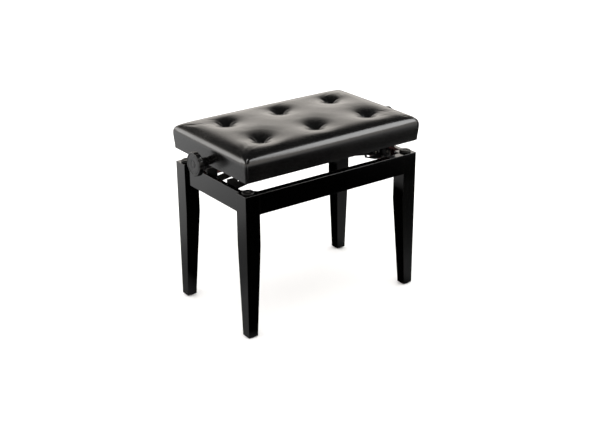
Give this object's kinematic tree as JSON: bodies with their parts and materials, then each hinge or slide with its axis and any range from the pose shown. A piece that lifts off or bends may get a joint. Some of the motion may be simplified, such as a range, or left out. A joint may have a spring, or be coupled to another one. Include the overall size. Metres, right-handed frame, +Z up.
{
  "type": "piano bench",
  "caption": "Height-adjustable piano bench with tapered lacquered legs, a button-tufted vinyl seat and a scissor lift worked by a spindle with end knobs.",
  "frame": {"origin": "on the floor under the middle of the seat", "axes": "+X along the seat's long side towards the player's right, +Y away from the player towards the piano, +Z up"},
  "size_m": [0.64, 0.34, 0.499],
  "materials": {
    "black_lacquer": "high-gloss black polyester lacquer",
    "black_vinyl": "satin black leather-grain vinyl",
    "foam": "open-cell upholstery foam",
    "plywood": "plywood and solid wood, stained dark red-brown",
    "black_steel": "black powder-coated steel",
    "bright_steel": "zinc-plated steel",
    "black_plastic": "satin black moulded plastic",
    "nylon": "black nylon",
    "rubber": "soft black rubber"
  },
  "bodies": {
    "base": {"leg_front_left": "black_lacquer", "leg_front_right": "black_lacquer", "leg_rear_left": "black_lacquer", "leg_rear_right": "black_lacquer", "apron_front": "black_lacquer", "apron_rear": "black_lacquer", "apron_left": "black_lacquer", "apron_right": "black_lacquer", "corner_bracket_front_left": "black_steel", "corner_bracket_front_right": "black_steel", "corner_bracket_rear_left": "black_steel", "corner_bracket_rear_right": "black_steel", "leg_bolt_front_left": "bright_steel", "leg_bolt_front_right": "bright_steel", "leg_bolt_rear_left": "bright_steel", "leg_bolt_rear_right": "bright_steel", "bumper_front_left": "rubber", "bumper_front_right": "rubber", "bumper_rear_left": "rubber", "bumper_rear_right": "rubber", "foot_glide_front_left": "black_plastic", "foot_glide_front_right": "black_plastic", "foot_glide_rear_left": "black_plastic", "foot_glide_rear_right": "black_plastic", "base_bracket_left": "black_steel", "base_bracket_right": "black_steel", "lower_pivot_rod": "bright_steel"},
    "seat": {"seat_board": "plywood", "seat_rail_front": "plywood", "seat_rail_rear": "plywood", "seat_rail_left": "plywood", "seat_rail_right": "plywood", "spindle_bush_left": "black_plastic", "spindle_bush_right": "black_plastic", "foam_pad": "foam", "seat_cover": "black_vinyl", "button_front_left": "black_vinyl", "button_rear_left": "black_vinyl", "button_front_middle": "black_vinyl", "button_rear_middle": "black_vinyl", "button_front_right": "black_vinyl", "button_rear_right": "black_vinyl", "top_rail_front": "black_steel", "top_rail_rear": "black_steel", "bearing_bar": "black_steel"},
    "base_arms": {"inner_arm_front": "black_steel", "inner_arm_rear": "black_steel", "centre_pin_front": "bright_steel", "centre_pin_rear": "bright_steel"},
    "seat_arms": {"outer_arm_front": "black_steel", "outer_arm_rear": "black_steel", "roller_rod": "bright_steel"},
    "front_roller": {"roller_front": "nylon"},
    "rear_roller": {"roller_rear": "nylon"},
    "spindle": {"spindle": "bright_steel", "knob_left": "black_plastic", "knob_right": "black_plastic", "thrust_collar_left": "bright_steel", "thrust_collar_right": "bright_steel"},
    "drive_nut": {"drive_nut_bar": "black_steel"}
  },
  "joints": [
    {"name": "seat_lift", "type": "slide", "parent": "base", "child": "seat", "axis": [0, 0, 1], "range_m": [-0.03, 0.07]},
    {"name": "base_arm_hinge", "type": "hinge", "parent": "base", "child": "base_arms", "pos_m": [-0.232, 0, 0.366], "axis": [0, -1, 0], "range_deg": [-3.84, 8.96]},
    {"name": "seat_arm_hinge", "type": "hinge", "parent": "seat", "child": "seat_arms", "pos_m": [-0.232, 0, 0.444], "axis": [0, 1, 0], "range_deg": [-3.84, 8.96]},
    {"name": "spindle_turn", "type": "hinge", "parent": "seat", "child": "spindle", "pos_m": [0, 0, 0.438], "axis": [1, 0, 0], "range_deg": [-789, 1840.9]},
    {"name": "nut_slide", "type": "slide", "parent": "seat", "child": "drive_nut", "axis": [1, 0, 0], "range_m": [-0.01571, 0.00673]},
    {"name": "front_roller_turn", "type": "hinge", "parent": "seat_arms", "child": "front_roller", "pos_m": [0.229, -0.049, 0.366], "axis": [0, 1, 0], "range_deg": [-128.6, 55.1]},
    {"name": "rear_roller_turn", "type": "hinge", "parent": "seat_arms", "child": "rear_roller", "pos_m": [0.229, 0.049, 0.366], "axis": [0, 1, 0], "range_deg": [-128.6, 55.1]}
  ],
  "couplings": [
    {"joint": "base_arm_hinge", "follows": "seat_lift", "rad_per_m": 2.19},
    {"joint": "seat_arm_hinge", "follows": "seat_lift", "rad_per_m": 2.19},
    {"joint": "spindle_turn", "follows": "seat_lift", "rad_per_m": 450},
    {"joint": "nut_slide", "follows": "seat_lift", "ratio": -0.22},
    {"joint": "front_roller_turn", "follows": "seat_lift", "rad_per_m": -31.429},
    {"joint": "rear_roller_turn", "follows": "seat_lift", "rad_per_m": -31.429}
  ]
}
